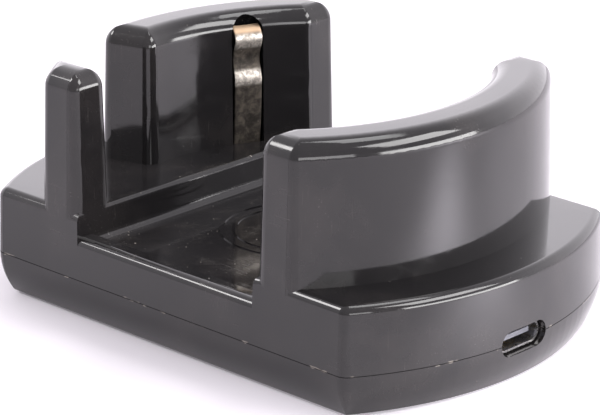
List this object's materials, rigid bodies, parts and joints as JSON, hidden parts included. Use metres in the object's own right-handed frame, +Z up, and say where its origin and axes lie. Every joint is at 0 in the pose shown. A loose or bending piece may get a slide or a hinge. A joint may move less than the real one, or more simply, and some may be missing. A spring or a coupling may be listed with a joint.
{
  "type": "remote control charger",
  "caption": "Glossy black charging cradle with curved walls round a remote-sized channel, spring leaf contacts and a small charging socket in one end.",
  "frame": {"origin": "on the table under the middle of the cradle, at the underside of the feet", "axes": "+X along the flat front face toward the end with the charging socket, +Y from the front face to the back face, +Z up"},
  "size_m": [0.0865, 0.056, 0.0374],
  "materials": {
    "housing_plastic": "glossy",
    "contact_metal": "tarnished nickel plate",
    "block_plastic": "satin",
    "screw_steel": "satin",
    "socket_steel": "satin",
    "socket_plastic": "satin",
    "pin_gold": "polished",
    "board_green": "satin",
    "chip_plastic": "matt",
    "ferrite": "matt",
    "capacitor_ceramic": "satin",
    "connector_plastic": "satin",
    "lead_red": "satin",
    "lead_black": "satin",
    "foot_rubber": "matt"
  },
  "bodies": {
    "housing": {"top_housing": "housing_plastic", "bottom_cover": "housing_plastic", "left_contact_block": "block_plastic", "right_contact_block": "block_plastic", "block_screws": "screw_steel", "socket_shell": "socket_steel", "socket_tongue": "socket_plastic", "socket_pins": "pin_gold", "circuit_board": "board_green", "charging_chip": "chip_plastic", "power_inductor": "ferrite", "capacitors": "capacitor_ceramic", "resistors": "chip_plastic", "lead_connector": "connector_plastic", "positive_lead": "lead_red", "negative_lead": "lead_black", "board_screws": "screw_steel", "case_screws": "screw_steel", "foot_1": "foot_rubber", "foot_2": "foot_rubber", "foot_3": "foot_rubber", "foot_4": "foot_rubber"},
    "left_leaf": {"left_contact": "contact_metal"},
    "right_leaf": {"right_contact": "contact_metal"}
  },
  "joints": [
    {"name": "right_leaf_bend", "type": "hinge", "parent": "housing", "child": "right_leaf", "pos_m": [0.02348, -0.01326, 0.0105], "axis": [0.4067, 0.9135, 0], "range_deg": [0, 3], "stiffness_Nm_per_rad": 0.3},
    {"name": "left_leaf_bend", "type": "hinge", "parent": "housing", "child": "left_leaf", "pos_m": [-0.02348, 0.01326, 0.0105], "axis": [-0.4067, -0.9135, 0], "range_deg": [0, 3], "stiffness_Nm_per_rad": 0.3}
  ]
}
